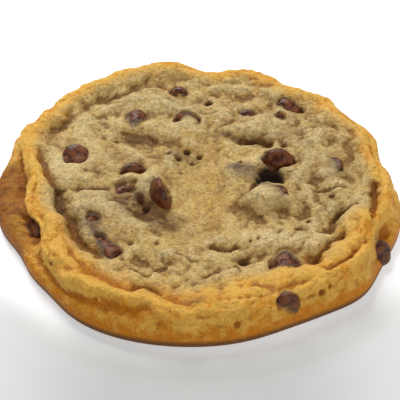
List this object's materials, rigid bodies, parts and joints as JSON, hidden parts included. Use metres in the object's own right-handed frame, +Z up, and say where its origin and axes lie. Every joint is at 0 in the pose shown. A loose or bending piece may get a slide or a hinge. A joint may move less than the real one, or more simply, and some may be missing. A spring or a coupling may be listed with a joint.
{
  "type": "chocolate chip cookie",
  "caption": "Round baked chocolate chip cookie with a rolled golden rim, a sunken lumpy middle and dark chips set into it.",
  "frame": {"origin": "centre of the bounding box, on the flat base that the cookie rests on", "axes": "+Z up out of the base, through the thickness; +X to the right and -Y towards the front, where the chip on the front rim is"},
  "size_m": [0.1012, 0.1022, 0.0129],
  "materials": {
    "dough": "baked dough, matt with a fine crumb, golden brown at the rim and pale in the middle",
    "chocolate": "melted and set chocolate, dark red-brown with a soft sheen"
  },
  "bodies": {
    "root": {"dough": "dough", "chip_01": "chocolate", "chip_02": "chocolate", "chip_03": "chocolate", "chip_04": "chocolate", "chip_05": "chocolate", "chip_06": "chocolate", "chip_07": "chocolate", "chip_08": "chocolate", "chip_09": "chocolate", "chip_10": "chocolate", "chip_11": "chocolate", "chip_12": "chocolate", "chip_13": "chocolate", "chip_14": "chocolate", "chip_15": "chocolate", "chip_16": "chocolate", "chip_17": "chocolate", "chip_18": "chocolate", "chip_19": "chocolate"}
  },
  "joints": []
}
